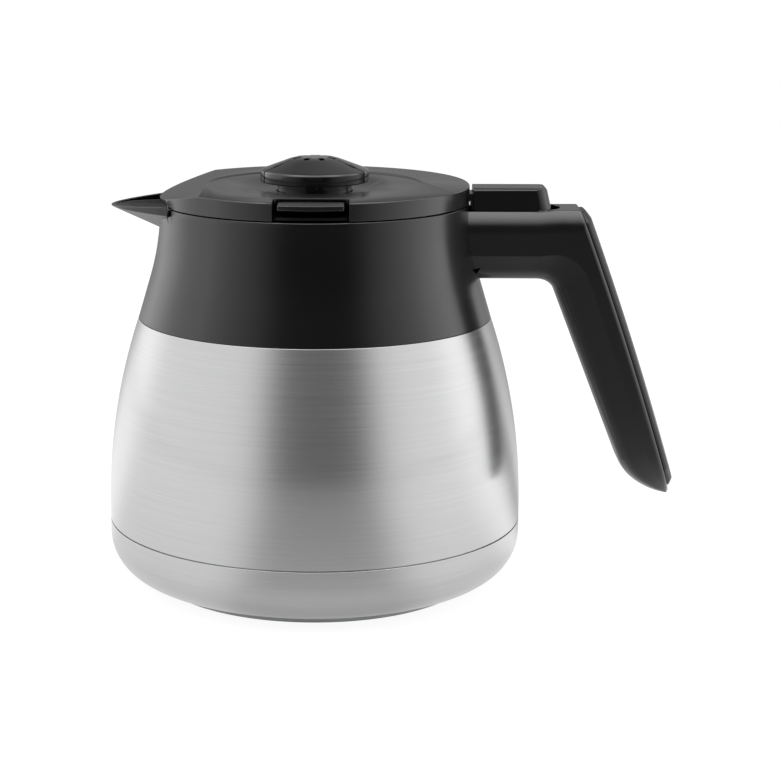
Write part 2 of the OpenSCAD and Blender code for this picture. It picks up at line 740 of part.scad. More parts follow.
// Outline from the side, with a small bevel over the leaning end
module lever_side() {
    rotate([90, 0, 0]) linear_extrude(lever_w + 2, center = true) polygon([
        [lid_r + lever_gap, lever_foot_z], [lever_reach + 2, lever_foot_z], [lever_reach + 2, lever_top - 5],
        [lever_reach - 3, lever_top], [lid_r + lever_gap, lever_top]]);
}

module lever_section() {
    rotate([90, 0, 90]) linear_extrude(120) union() {
        translate([-lever_w / 2, 0]) square([lever_w, lever_top - lever_round]);
        translate([-lever_w / 2 + lever_round, 0]) square([lever_w - 2 * lever_round, lever_top]);
        for (y = [-1, 1]) translate([y * (lever_w / 2 - lever_round), lever_top - lever_round])
            circle(r = lever_round, $fn = 48);
    }
}

// Outline from above, drawn up along the leaning end
module lever_plan() {
    flat_w = lever_w / 2 - lever_corner;
    lean_back = atan(2 / (lever_top - 1 - lever_foot_z));
    translate([lever_reach, 0, lever_foot_z]) rotate([0, -lean_back, 0])
        linear_extrude(100, center = true) union() {
            translate([-100, -lever_w / 2]) square([100 - lever_corner, lever_w]);
            translate([-100, -flat_w]) square([100, 2 * flat_w]);
            for (y = [-flat_w, flat_w]) translate([-lever_corner, y]) circle(r = lever_corner, $fn = 64);
        }
}

module thumb_lever() {
    web_end = hinge_x - knuckle_r + 0.2 + arm_t + snug;
    color(gloss) difference() {
        intersection() {
            lever_side();
            lever_section();
            lever_plan();
        }
        block([0, -arm_w / 2 - snug, 0], [web_end, arm_w / 2 + snug, lid_top - arm_drop + snug]);
        difference() {
            block([web_end + lever_wall, -lever_w / 2 + lever_wall, 0],
                [lever_reach - 5, lever_w / 2 - lever_wall, lever_top - lever_wall]);
            for (x = [lever_rib_x, lever_rib_x + 6]) block([x, -lever_w, 0], [x + 1.2, lever_w, 200]);
        }
    }
}

module stem_guide() {
    color(black) {
        difference() {
            union() {
                ring(channel_r - 2.2, channel_r - snug, guide_z + seat, guide_z + guide_t);
                cylinder_at(stem_r + 2, guide_z + seat, guide_z + guide_t);
                for (a = [30, 150, 270]) rotate(a)
                    block([0, -0.9, guide_z + seat], [channel_r - 1, 0.9, guide_z + guide_t - 0.5]);
            }
            cylinder(r = stem_r + running, h = 400, $fn = 48);
        }
    }
}

module valve_dome() {
    rim = dome_z + dome_band;
    neck_low = dome_z - dome_neck_h;
    flat_r = 7.4;
    boss_low = dome_z + 1.6;
    color(gloss) difference() {
        turned([[stem_r + screw_fit, boss_low], [stem_r + 2.6, boss_low], [stem_r + 2.6, dome_top - 3.4],
            [flat_r, dome_top - dome_wall - 0.6], [dome_neck_r - dome_wall, rim + 0.4],
            [dome_neck_r - dome_wall, neck_low], [dome_neck_r, neck_low], [dome_neck_r, dome_z + 1.2],
            [dome_r - dome_wall, dome_z + 1.2], [dome_r - 1.2, dome_z], [dome_r - 0.3, dome_z],
            [dome_r, dome_z + 0.3], [dome_r, rim - 0.6], [dome_r - 0.3, rim], [dome_r - 1.2, rim + 0.4],
            [13.6, dome_top - 2.2], [9.6, dome_top - 0.7], [flat_r, dome_top - 0.15],
            [flat_r - 1.6, dome_top], [0, dome_top], [0, dome_top - 1.6], [stem_r + screw_fit, dome_top - 1.6]]);
        for (a = [-90 - petal_half_angle, -90 + petal_half_angle, 90]) rotate(a) {
            block([dome_neck_r + 0.6, -0.5, dome_z - 1], [dome_r + 1, 0.5, dome_top]);
            translate([0, 0, dome_top - 1]) rotate([0, atan2(dome_rise - 1.2, dome_r - flat_r), 0])
                block([flat_r + 1.5, -0.4, -0.1], [dome_r, 0.4, 3]);
        }
        for (i = [0:brew_slots - 1]) rotate(360 * (i + 0.5) / brew_slots)
            block([5.4, -1.1, dome_top - 3], [8.8, 1.1, dome_top + 1]);
    }
}

module valve_stem() {
    color(steel) cylinder_at(stem_r, plug_z - disc_t - 2.6, dome_top - 1.8);
}

module valve_disc() {
    top = plug_z - seat - 0.05;
    color("#5c5d60") turned([[stem_r + screw_fit, top - disc_t - 1.4], [4, top - disc_t - 1.4],
        [5, top - disc_t], [disc_r - 0.6, top - disc_t], [disc_r, top - disc_t + 0.6], [disc_r, top],
        [stem_r + screw_fit, top]]);
}

// A round wire along a helix: the curls, and a flat start and end
function coil_point(u, r, curls, h) = [r * cos(360 * curls * u), r * sin(360 * curls * u), h * u];
module coil(r, wire, curls, h) {
    sides = 6;
    rings = curls * 8;
    lead = atan(h / (curls * 2 * PI * r));
    loft([for (i = [0:rings]) let (u = i / rings, a = 360 * curls * u, c = coil_point(u, r, curls, h))
        [for (k = [0:sides - 1]) let (b = -360 * k / sides, out = wire * cos(b), up = wire * sin(b))
            c + [out * cos(a) + up * sin(lead) * sin(a), out * sin(a) - up * sin(lead) * cos(a), up * cos(lead)]]]);
    echo(least_gap = h / curls * cos(lead) - 2 * wire);
}

module valve_spring() {
    low = guide_z + guide_t + spring_wire_r + seat;
    high = dome_z + 1.6 - spring_wire_r - seat;
    color(steel) translate([0, 0, low]) coil(spring_r, spring_wire_r, 6, high - low);
}

module release_tab() {
    color("#6a6b6e") {
        intersection() {
            ring(0, lid_r, tab_low, tab_top);
            block([-tab_w / 2, -lid_r - 1, tab_low - 1], [tab_w / 2, -tab_back, tab_top + 1]);
        }
        block([-tab_stem_w / 2, -notch_y - 3, tab_stem_low], [tab_stem_w / 2, -tab_stem_end, tab_stem_top]);
    }
}

module tab_spring() {
    z = plug_lip_top + snug + tab_spring_r + tab_wire_r;
    from = tab_stem_end - tab_wire_r - seat;
    to = stop_y + stop_t + tab_wire_r + seat;
    color(steel) translate([0, -from, z]) rotate([-90, 0, 0])
        coil(tab_spring_r, tab_wire_r, 4, from - to);
}

module release_tab_front() {
    release_tab();
}

module release_tab_rear() {
    mirror([0, 1, 0]) release_tab();
}

module tab_spring_front() {
    tab_spring();
}

module tab_spring_rear() {
    mirror([0, 1, 0]) tab_spring();
}

outer_shell();
base_cup();
foot_ring();
vacuum_seal();
inner_flask();
neck_gasket();
collar();
pouring_ring();
handle_shell();
handle_cover();
handle_screws();
hinge_pin();
lid_cover();
lid_base();
lid_plug();
lid_insulation();
lid_gasket();
lid_screws();
thumb_lever();
stem_guide();
valve_dome();
valve_stem();
valve_disc();
valve_spring();
release_tab_front();
release_tab_rear();
tab_spring_front();
tab_spring_rear();
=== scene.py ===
# Thermal carafe with flip lid: brushed steel body, black collar with spout, open-ended handle,
# hinged lid with a thumb lever, and a brew-through valve under a glossy dome.
# Lengths in this script are millimetres, in the frame's axes; meshes are made in metres.
import json
from math import atan, cos, hypot, pi, radians, sin, sqrt

import bmesh
import bpy
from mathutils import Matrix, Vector

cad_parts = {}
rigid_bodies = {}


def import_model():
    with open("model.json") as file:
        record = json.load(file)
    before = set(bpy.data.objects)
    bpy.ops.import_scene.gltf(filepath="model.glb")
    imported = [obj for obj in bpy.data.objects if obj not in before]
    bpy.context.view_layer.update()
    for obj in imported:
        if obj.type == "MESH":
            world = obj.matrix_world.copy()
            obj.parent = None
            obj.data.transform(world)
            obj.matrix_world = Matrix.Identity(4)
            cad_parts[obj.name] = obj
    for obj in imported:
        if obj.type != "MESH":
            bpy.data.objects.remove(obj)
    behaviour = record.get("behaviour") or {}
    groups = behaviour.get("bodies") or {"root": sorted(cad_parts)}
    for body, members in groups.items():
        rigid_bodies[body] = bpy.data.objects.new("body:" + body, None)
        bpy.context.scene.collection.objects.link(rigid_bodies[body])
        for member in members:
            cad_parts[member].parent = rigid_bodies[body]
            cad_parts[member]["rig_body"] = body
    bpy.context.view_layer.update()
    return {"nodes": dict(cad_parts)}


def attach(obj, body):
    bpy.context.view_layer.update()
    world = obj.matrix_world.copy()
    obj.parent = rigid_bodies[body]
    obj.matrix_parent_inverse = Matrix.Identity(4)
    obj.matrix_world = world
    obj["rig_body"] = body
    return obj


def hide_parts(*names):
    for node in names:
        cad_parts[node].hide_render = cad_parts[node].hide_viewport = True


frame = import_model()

MM = 0.001
NODES = frame["nodes"]


def add_object(name, data):
    """A new object in the scene."""
    obj = bpy.data.objects.new(name, data)
    bpy.context.scene.collection.objects.link(obj)
    return obj


# Camera: at the photograph's height and distance, on its slightly turned side view
VIEW_AZIMUTH = 1.5
VIEW_ELEVATION = 12.825
VIEW_DISTANCE = 800
VIEW_TARGET = Vector((0, 0, 74.1))
LENS = 94.57
SENSOR_WIDTH = 36
VIEW_SHIFT = 0.0965


def make_camera():
    data = bpy.data.cameras.new("camera")
    data.sensor_width = SENSOR_WIDTH
    data.lens = LENS
    data.shift_x = VIEW_SHIFT
    data.clip_start = 0.01
    data.clip_end = 20
    camera = add_object("camera", data)
    turn = radians(VIEW_AZIMUTH)
    rise = radians(VIEW_ELEVATION)
    back = Vector((sin(turn) * cos(rise), -cos(turn) * cos(rise), sin(rise)))
    camera.location = (VIEW_TARGET + VIEW_DISTANCE * back) * MM
    camera.rotation_euler = back.to_track_quat("Z", "Y").to_euler()
    bpy.context.scene.camera = camera


make_camera()


# Shader helpers
def new_material(name):
    material = bpy.data.materials.new(name)
    material.use_nodes = True
    return material, material.node_tree, material.node_tree.nodes["Principled BSDF"]


def add_node(tree, kind, **settings):
    node = tree.nodes.new(kind)
    for key, value in settings.items():
        setattr(node, key, value)
    return node


def feed(tree, socket, value):
    """Links a socket to another, or sets it to a plain value."""
    if isinstance(value, bpy.types.NodeSocket):
        tree.links.new(value, socket)
    else:
        socket.default_value = value


def calc(tree, operation, *values):
    node = add_node(tree, "ShaderNodeMath", operation=operation)
    for socket, value in zip(node.inputs, values):
        feed(tree, socket, value)
    return node.outputs[0]


def own_position(tree):
    """The position of a point in its own object's axes, in metres."""
    return add_node(tree, "ShaderNodeTexCoord").outputs["Object"]


def split_axes(tree, vector):
    parts = add_node(tree, "ShaderNodeSeparateXYZ")
    feed(tree, parts.inputs[0], vector)
    return parts.outputs


def axis_distance(tree, x, y):
    squares = calc(tree, "ADD", calc(tree, "MULTIPLY", x, x), calc(tree, "MULTIPLY", y, y))
    return calc(tree, "SQRT", squares)


def scaled_position(tree, scale):
    """A point's own position times a scale along each axis."""
    node = add_node(tree, "ShaderNodeVectorMath", operation="MULTIPLY")
    feed(tree, node.inputs[0], own_position(tree))
    node.inputs[1].default_value = scale
    return node.outputs[0]


def noise(tree, vector, scale, detail=2.0, roughness=0.5):
    node = add_node(tree, "ShaderNodeTexNoise")
    feed(tree, node.inputs["Vector"], vector)
    node.inputs["Scale"].default_value = scale
    node.inputs["Detail"].default_value = detail
    node.inputs["Roughness"].default_value = roughness
    return node.outputs["Fac"]


def span(tree, value, low, high, start=0.3, end=0.7):
    """Maps a value from start to end, by default a noise's usual range, to a range from low to high."""
    node = add_node(tree, "ShaderNodeMapRange")
    feed(tree, node.inputs["Value"], value)
    node.inputs["From Min"].default_value = start
    node.inputs["From Max"].default_value = end
    node.inputs["To Min"].default_value = low
    node.inputs["To Max"].default_value = high
    return node.outputs["Result"]


def tint(tree, color, value):
    """A colour made lighter or darker by a value round 1."""
    node = add_node(tree, "ShaderNodeVectorMath", operation="SCALE")
    node.inputs[0].default_value = color
    feed(tree, node.inputs["Scale"], value)
    return node.outputs[0]


def bump(tree, shader, height, strength, distance_mm):
    node = add_node(tree, "ShaderNodeBump")
    node.inputs["Strength"].default_value = strength
    node.inputs["Distance"].default_value = distance_mm * MM
    feed(tree, node.inputs["Height"], height)
    feed(tree, shader.inputs["Normal"], node.outputs["Normal"])


def ring_position(tree, across, along):
    """A vector that changes fast across the circles round the Z axis, and slowly along them."""
    x, y, z = split_axes(tree, own_position(tree))
    band = calc(tree, "MULTIPLY", calc(tree, "ADD", z, axis_distance(tree, x, y)), across)
    joined = add_node(tree, "ShaderNodeCombineXYZ")
    feed(tree, joined.inputs[0], calc(tree, "MULTIPLY", x, along))
    feed(tree, joined.inputs[1], calc(tree, "MULTIPLY", y, along))
    feed(tree, joined.inputs[2], band)
    return joined.outputs[0]


def mixed_shader(tree, share, first, second):
    """One shader where the share is 0, another where it is 1."""
    node = add_node(tree, "ShaderNodeMixShader")
    feed(tree, node.inputs["Fac"], share)
    feed(tree, node.inputs[1], first)
    feed(tree, node.inputs[2], second)
    return node.outputs[0]


# Materials
def brushed_steel(name, color, roughness, anisotropy, contrast):
    """Steel that was brushed while it turned: fine lines that run round the axis."""
    material, tree, shader = new_material(name)
    fine = noise(tree, ring_position(tree, across=3200, along=26), 1, detail=3, roughness=0.6)
    broad = noise(tree, ring_position(tree, across=900, along=9), 1, detail=2)
    both = calc(tree, "ADD", calc(tree, "MULTIPLY", fine, 0.7), calc(tree, "MULTIPLY", broad, 0.3))
    feed(tree, shader.inputs["Base Color"], tint(tree, color, span(tree, both, 1 - contrast, 1 + contrast)))
    feed(tree, shader.inputs["Roughness"], span(tree, both, roughness - 0.02, roughness + 0.02))
    shader.inputs["Metallic"].default_value = 1
    shader.inputs["Anisotropic"].default_value = anisotropy
    tangent = add_node(tree, "ShaderNodeTangent", direction_type="RADIAL", axis="Z")
    feed(tree, shader.inputs["Tangent"], tangent.outputs[0])
    bump(tree, shader, fine, strength=0.02, distance_mm=0.02)
    return material


def plastic(name, color, roughness, grain=0.08, grain_mm=0.35, specular=0.8, coat=0.0, facing_share=0.25):
    """Moulded plastic with a fine grain and slight cloudiness. It shines more where it turns away."""
    material, tree, shader = new_material(name)
    place = scaled_position(tree, (1, 1, 1))
    cloud = noise(tree, place, 38, detail=2)
    fine = noise(tree, place, 1 / (grain_mm * MM), detail=2)
    feed(tree, shader.inputs["Base Color"], tint(tree, color, span(tree, cloud, 0.93, 1.07)))
    mixed = calc(tree, "ADD", calc(tree, "MULTIPLY", cloud, 0.6), calc(tree, "MULTIPLY", fine, 0.4))
    feed(tree, shader.inputs["Roughness"], span(tree, mixed, roughness - 0.03, roughness + 0.03))
    facing = add_node(tree, "ShaderNodeLayerWeight").outputs["Facing"]
    level = span(tree, facing, facing_share * specular, specular, start=0.02, end=0.25)
    feed(tree, shader.inputs["Specular IOR Level"], level)
    shader.inputs["Coat Weight"].default_value = coat
    shader.inputs["Coat Roughness"].default_value = 0.05
    bump(tree, shader, fine, strength=grain, distance_mm=0.02)
    return material


def plain_metal(name, color, roughness):
    """Turned or drawn metal of small parts."""
    material, tree, shader = new_material(name)
    fine = noise(tree, scaled_position(tree, (900, 900, 5200)), 1, detail=2)
    feed(tree, shader.inputs["Base Color"], tint(tree, color, span(tree, fine, 0.9, 1.08)))
    feed(tree, shader.inputs["Roughness"], span(tree, fine, roughness - 0.06, roughness + 0.06))
    shader.inputs["Metallic"].default_value = 1
    bump(tree, shader, fine, strength=0.06, distance_mm=0.02)
    return material


def foam(name, color):
    """Foam with small closed cells."""
    material, tree, shader = new_material(name)
    cells = add_node(tree, "ShaderNodeTexVoronoi")
    feed(tree, cells.inputs["Vector"], scaled_position(tree, (1, 1, 1)))
    cells.inputs["Scale"].default_value = 900
    distance = cells.outputs["Distance"]
    shade = span(tree, distance, 0.85, 1.05, start=0, end=0.8)
    feed(tree, shader.inputs["Base Color"], tint(tree, color, shade))
    shader.inputs["Roughness"].default_value = 0.9
    bump(tree, shader, distance, strength=0.4, distance_mm=0.3)
    return material


STEEL = brushed_steel("brushed_steel", (0.55, 0.55, 0.555), 0.2, 0.8, 0.045)
INNER_STEEL = brushed_steel("satin_steel", (0.55, 0.56, 0.57), 0.34, 0.5, 0.02)
FOOT = plastic("foot_rubber", (0.5, 0.51, 0.52), 0.6, grain=0.15)
COLLAR = plastic("collar_plastic", (0.003, 0.003, 0.0032), 0.24)
HANDLE = plastic("handle_plastic", (0.002, 0.002, 0.0022), 0.22, facing_share=0.55)
GRIP_BACK = plastic("grip_back_plastic", (0.004, 0.004, 0.0042), 0.3, grain=0.12, specular=0.5)
LID = plastic("lid_plastic", (0.006, 0.006, 0.0064), 0.22, grain=0.15, grain_mm=0.3)
GLOSS = plastic("gloss_plastic", (0.003, 0.003, 0.0032), 0.1, grain=0.0, coat=0.2)
LEVER = plastic("lever_plastic", (0.003, 0.003, 0.0032), 0.24, grain=0.03)
TAB = plastic("tab_plastic", (0.005, 0.005, 0.0054), 0.26, grain=0.08)
SEAL = plastic("seal_silicone", (0.1, 0.1, 0.105), 0.6, grain=0.1, specular=0.35)
FOAM = foam("plug_foam", (0.75, 0.7, 0.58))
WIRE = plain_metal("spring_wire", (0.72, 0.72, 0.72), 0.22)
SCREW = plain_metal("screw_steel", (0.6, 0.6, 0.6), 0.3)

NODE_MATERIALS = {
    "outer_shell": STEEL, "base_cup": STEEL, "foot_ring": FOOT, "vacuum_seal": INNER_STEEL,
    "inner_flask": INNER_STEEL, "neck_gasket": SEAL, "collar": COLLAR, "pouring_ring": COLLAR,
    "handle_shell": HANDLE, "lid_base": COLLAR,
    "handle_cover": GRIP_BACK, "handle_screws": SCREW, "hinge_pin": SCREW, "lid_cover": LID,
    "lid_plug": COLLAR, "lid_insulation": FOAM, "lid_gasket": SEAL, "lid_screws": SCREW,
    "thumb_lever": LEVER, "stem_guide": COLLAR, "valve_dome": GLOSS, "valve_stem": SCREW,
    "valve_disc": SEAL, "valve_spring": WIRE, "release_tab_front": TAB, "release_tab_rear": TAB,
    "tab_spring_front": WIRE, "tab_spring_rear": WIRE,
}


def dress_nodes():
    for name, obj in NODES.items():
        obj.data.materials.clear()
        obj.data.materials.append(NODE_MATERIALS[name])


dress_nodes()


# Mesh helpers, in which an edge counts as sharp from an angle of so many degrees
SHARP = 28
WELD = 0.002
COPLANAR = 0.3
TURNS = 256


def add_piece(name, mesh, node, sharp):
    """Puts a mesh in the scene in place of a CAD node, on that node's body, with its material."""
    mesh.shade_smooth()
    mesh.set_sharp_from_angle(angle=radians(sharp))
    piece = add_object(name, mesh)
    mesh.materials.append(NODE_MATERIALS[node])
    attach(piece, NODES[node]["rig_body"])
    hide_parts(node)
    return piece


def from_bmesh(name, bm):
    bmesh.ops.recalc_face_normals(bm, faces=bm.faces)
    mesh = bpy.data.meshes.new(name)
    bm.to_mesh(mesh)
    bm.free()
    return mesh


def welded(node):
    """A CAD node's mesh for editing, with its doubled points joined."""
    bm = bmesh.new()
    bm.from_mesh(NODES[node].data)
    bmesh.ops.remove_doubles(bm, verts=bm.verts, dist=WELD * MM)
    return bm


def round_edges(piece, radius, sharp=SHARP):
    bevel = piece.modifiers.new("rounding", "BEVEL")
    bevel.width = radius * MM
    bevel.segments = 3
    bevel.limit_method = "ANGLE"
    bevel.angle_limit = radians(sharp)
    bevel.use_clamp_overlap = False
    bevel.harden_normals = True


def rounded_copy(name, node, radius):
    """A copy of a CAD node's solid, with its coplanar triangles joined and its edges rounded."""
    bm = welded(node)
    bmesh.ops.dissolve_limit(bm, angle_limit=radians(COPLANAR), verts=bm.verts, edges=bm.edges)
    piece = add_piece(name, from_bmesh(name, bm), node, SHARP)
    round_edges(piece, radius)


def outline(node):
    """The outline of a turned CAD node: its rings as (radius, height), in order round the section."""
    bm = welded(node)
    place = {v: (round(hypot(v.co.x, v.co.y) / MM, 2), round(v.co.z / MM, 2)) for v in bm.verts}
    near = {}
    for edge in bm.edges:
        a, b = (place[v] for v in edge.verts)
        if a != b:
            near.setdefault(a, set()).add(b)
            near.setdefault(b, set()).add(a)
    bm.free()
    ends = [p for p in near if len(near[p]) == 1]
    path = [min(ends or near)]
    while True:
        ahead = [p for p in near[path[-1]] if p not in path]
        if not ahead:
            break
        path.append(min(ahead) if len(path) == 1 else ahead[0])
    if ends:
        path = [(0, path[0][1])] + path + [(0, path[-1][1])]
    return path


def lathe(name, node, radius):
    """A turned CAD node made again in finer steps round the Z axis, with its sharp edges rounded."""
    bm = bmesh.new()
    angles = [2 * pi * i / TURNS for i in range(TURNS)]
    rings = []
    for r, z in outline(node):
        if r == 0:
            rings.append([bm.verts.new((0, 0, z * MM))] * TURNS)
        else:
            rings.append([bm.verts.new((r * MM * cos(a), r * MM * sin(a), z * MM)) for a in angles])
    for a, b in zip(rings, rings[1:] + rings[:1]):
        for i in range(TURNS):
            j = (i + 1) % TURNS
            corners = list(dict.fromkeys((a[i], a[j], b[j], b[i])))
            if len(corners) > 2:
                bm.faces.new(corners)
    piece = add_piece(name, from_bmesh(name, bm), node, SHARP)
    round_edges(piece, radius)


# Pieces that keep a CAD node's shape: the radius in millimetres that each one's edges get
EDGE_ROUNDING = {
    "collar": 0.2, "lid_cover": 0.2, "valve_dome": 0.12, "thumb_lever": 0.2,
    "release_tab_front": 0.5, "release_tab_rear": 0.5,
}
TURNED = {
    "outer_shell": 0.12, "base_cup": 0.12, "foot_ring": 0.15, "inner_flask": 0.15, "pouring_ring": 0.2,
    "lid_plug": 0.2, "lid_gasket": 0.1, "neck_gasket": 0.1, "valve_disc": 0.1,
}


def round_all():
    for node, radius in EDGE_ROUNDING.items():
        rounded_copy(node + "_form", node, radius)
    for node, radius in TURNED.items():
        lathe(node + "_form", node, radius)


round_all()


# Handle: smooth skins over slices that run along the arm, round the crook and down the grip.
# A section lists shares of the depth, from the inner edge up to the crease or from the back outwards,
# each with its share of the half width.
ARM_START = 58
ARM_LOW = 119.8
ARM_TOP = 145.6
CROWN_START = 83
CROWN_LENGTH = 11
CROWN_TOP = 146.3
CROOK_RADIUS = 7.9
CROOK_CENTRE = Vector((84.4, ARM_LOW - CROOK_RADIUS))
CROOK_TURN = atan(0.395)
CROOK_OUT = 122
GRIP_LOW = Vector((117.3, 49.9))
GRIP_OUT = 55.8
TIP_BEND = Vector((122, 38.2))
TIP_END = Vector((136.8, 35.1))
TIP_OUT = 36.8
TIP_NARROWING = 0.45
BACK_X = 103.85
BACK_Z = 138.2
BACK_DROP = 100
BACK_REACH = 37.6
BACK_BEND = 4
BACK_LEAN = 0.94
ARM_HALF = 12
GRIP_HALF = 12.8
ARM_SECTION = [(0, 0.6), (0.02, 0.7), (0.06, 0.79), (0.12, 0.855), (0.23, 0.92), (0.36, 1)]
GRIP_SECTION = [(0, 0.28), (0.03, 0.5), (0.09, 0.69), (0.18, 0.8), (0.42, 0.895), (0.7, 1)]
OUTER_SHARES = [0.01, 0.12, 0.25, 0.37, 0.48, 0.57, 0.65, 0.72, 0.78, 0.83, 0.87, 0.91,
    0.94, 0.965, 0.985, 1]
SECTION_STEPS = 5
CREASE_STEP = 0.04
ROUND_POINT = 3
ARM_DEPTH = 25.8
GRIP_DEPTH = 19.4
FULL_BEND_DEPTH = 10
SHOULDER_DEPTH = 7
SHOULDER_WIDTH = 3.3
SHOULDER_POWER = 1.5
BACK_ROUND = 1.8
SHELL_SHARP = 40
COLLAR_TOP = 148
COLLAR_RIM = 59
COLLAR_ARC = 97.38
COLLAR_INSET = 0.4
CHANNEL_HALF = 8.5
CHANNEL_CORNER = 7
CHANNEL_CORNER_X = 86.2
CHANNEL_STEPS = 16
CHANNEL_OVER = 5
DEEP_START = 75.235
DEEP_FLOOR = 122.2
SHALLOW_START = 50
SHALLOW_FLOOR = 131.7
COVER_TOP = 145.2
COVER_END = 38.4
COVER_SEAT = 0.15
COVER_DEPTH = 2.8
COVER_HALF = 10.5
COVER_SECTION = [(0, 1), (0.15, 0.985), (0.45, 0.93), (0.75, 0.8), (1, 0.5)]
COVER_TOP_SWELL = 0.25
COVER_TOP_RUN = 0.04
COVER_TOP_WIDTH = 0.7
COVER_TOP_WIDENING = 8
COVER_END_SWELL = 0.2
COVER_END_RUN = 0.02
COVER_END_WIDTH = 0.6
COVER_END_WIDENING = 6
COVER_SHARP = 50
HANDLE_ROUNDING = 0.25


def mix(a, b, share):
    return a + (b - a) * share


def ease(share):
    share = min(1, max(0, share))
    return share * share * (3 - 2 * share)


def curve(points, steps, first_step=0.0):
    """A smooth line through the points. It may have one more point close to its start."""
    points = [Vector(p) for p in points]
    ends = [2 * points[0] - points[1]] + points + [2 * points[-1] - points[-2]]
    line = []
    for a, b, c, d in zip(ends, ends[1:], ends[2:], ends[3:]):
        shares = [i / steps for i in range(steps)]
        if first_step and not line:
            shares.insert(1, first_step)
        for t in shares:
            line.append(0.5 * (2 * b + (c - a) * t + (2 * a - 5 * b + 4 * c - d) * t ** 2
                + (3 * b - a - 3 * c + d) * t ** 3))
    return line + [points[-1]]


def back_x(z):
    """Where the handle's slightly bent back is at a height."""
    share = (BACK_Z - z) / BACK_DROP
    return BACK_X + BACK_REACH * share - BACK_BEND * share * share


def back_point(z, depth):
    """A point that lies so far outside the back, square to it."""
    normal = Vector((1, back_x(z - 0.5) - back_x(z + 0.5))).normalized()
    return Vector((back_x(z), z)) + normal * depth


def collar_radius(z):
    """The collar's outer radius at a height."""
    return COLLAR_RIM + COLLAR_ARC - sqrt(COLLAR_ARC ** 2 - (COLLAR_TOP - z) ** 2)


def arm_top(x):
    return mix(ARM_TOP, CROWN_TOP, ease((x - CROWN_START) / CROWN_LENGTH))


# Each slice is an inner and an outer point, the share of the turn from arm to grip, and a half width
def arm_slices(count=10):
    for i in range(count + 1):
        x = mix(ARM_START, CROOK_CENTRE.x, i / count)
        yield Vector((x, ARM_LOW)), Vector((x, arm_top(x))), 0, ARM_HALF


def crook_slices(count=48):
    for i in range(1, count + 1):
        u = i / count
        angle = mix(pi / 2, CROOK_TURN, u)
        inner = CROOK_CENTRE + CROOK_RADIUS * Vector((cos(angle), sin(angle)))
        x = mix(CROOK_CENTRE.x, back_x(CROWN_TOP), min(1, 2 * u))
        z = mix(CROWN_TOP, CROOK_OUT, max(0, 2 * u - 1))
        yield inner, Vector((x if u < 0.5 else back_x(z), z)), ease(u), mix(ARM_HALF, GRIP_HALF, u)


def grip_slices(count=20):
    start = CROOK_CENTRE + CROOK_RADIUS * Vector((cos(CROOK_TURN), sin(CROOK_TURN)))
    for i in range(1, count + 1):
        u = i / count
        z = mix(CROOK_OUT, GRIP_OUT, u)
        yield mix(start, GRIP_LOW, u), Vector((back_x(z), z)), 1, GRIP_HALF


def tip_slices(count=24):
    for i in range(1, count + 1):
        u = i / count
        z = mix(GRIP_OUT, TIP_OUT, u)
        inner = mix(mix(GRIP_LOW, TIP_BEND, u), mix(TIP_BEND, TIP_END, u), u)
        yield inner, Vector((back_x(z), z)), 1, GRIP_HALF * (1 - TIP_NARROWING * u ** 4)


def loft(name, rings):
    """A closed skin over rings of points in millimetres."""
    bm = bmesh.new()
    rows = [[bm.verts.new(p * MM) for p in ring] for ring in rings]
    for a, b in zip(rows, rows[1:]):
        for i in range(len(a)):
            j = (i + 1) % len(a)
            bm.faces.new((a[i], a[j], b[j], b[i]))
    bm.faces.new(rows[0])
    bm.faces.new(rows[-1])
    return from_bmesh(name, bm)


def both_halves(half):
    """A ring from its half with positive Y, and that half's mirror image."""
    return half + [Vector((p.x, -p.y, p.z)) for p in reversed(half)]


def side_width(place, half_width):
    """The shell's half width above its crease, less its rounded shoulder and back edge."""
    top = arm_top(place.x) - place.y
    back = (back_x(place.y) - place.x) * BACK_LEAN
    shoulder = SHOULDER_WIDTH * max(0, 1 - max(0, top) / SHOULDER_DEPTH) ** SHOULDER_POWER
    edge = BACK_ROUND * (1 - sqrt(max(0, 1 - max(0, 1 - max(0, back) / BACK_ROUND) ** 2)))
    return half_width - hypot(shoulder, edge)


def shell_rings():
    """The shell's rings. Each has a rounded inner edge, a flat facet up to the crease, and a side."""
    arm = curve(ARM_SECTION[::-1], SECTION_STEPS, CREASE_STEP)[::-1]
    grip = curve(GRIP_SECTION[::-1], SECTION_STEPS, CREASE_STEP)[::-1]
    round_end = SECTION_STEPS * ROUND_POINT
    for make in (arm_slices, crook_slices, grip_slices, tip_slices):
        for inner, outer, turn, half_width in make():
            depth = (outer - inner).length
            usual = mix(ARM_DEPTH, GRIP_DEPTH, turn)
            crease = mix(arm[-1], grip[-1], turn).x
            bend, bend_width = mix(arm[round_end], grip[round_end], turn)
            crease_at = crease * (usual / depth if make is crook_slices else 1)
            bend_at = bend * usual / depth * min(1, depth / FULL_BEND_DEPTH)
            facet = (crease_at - bend_at) * depth / ((crease - bend) * usual)
            half = []
            for a, b in zip(arm, grip):
                share, width = mix(a, b, turn)
                if share > bend:
                    at = mix(bend_at, crease_at, (share - bend) / (crease - bend))
                    lost = (1 - width) * facet
                else:
                    at = share * bend_at / bend
                    lost = bend_width - width + (1 - bend_width) * facet
                place = mix(inner, outer, at)
                limit = side_width(place, half_width)
                half.append(Vector((place.x, min((1 - lost) * half_width, limit), place.y)))
            for share in OUTER_SHARES:
                place = mix(inner, outer, mix(crease_at, 1, share))
                half.append(Vector((place.x, side_width(place, half_width), place.y)))
            yield both_halves(half)


def seat_on_collar(ring):
    """Moves the arm's first ring onto the collar, just under its surface."""
    return [Vector((sqrt((collar_radius(p.z) - COLLAR_INSET) ** 2 - p.y ** 2), p.y, p.z)) for p in ring]


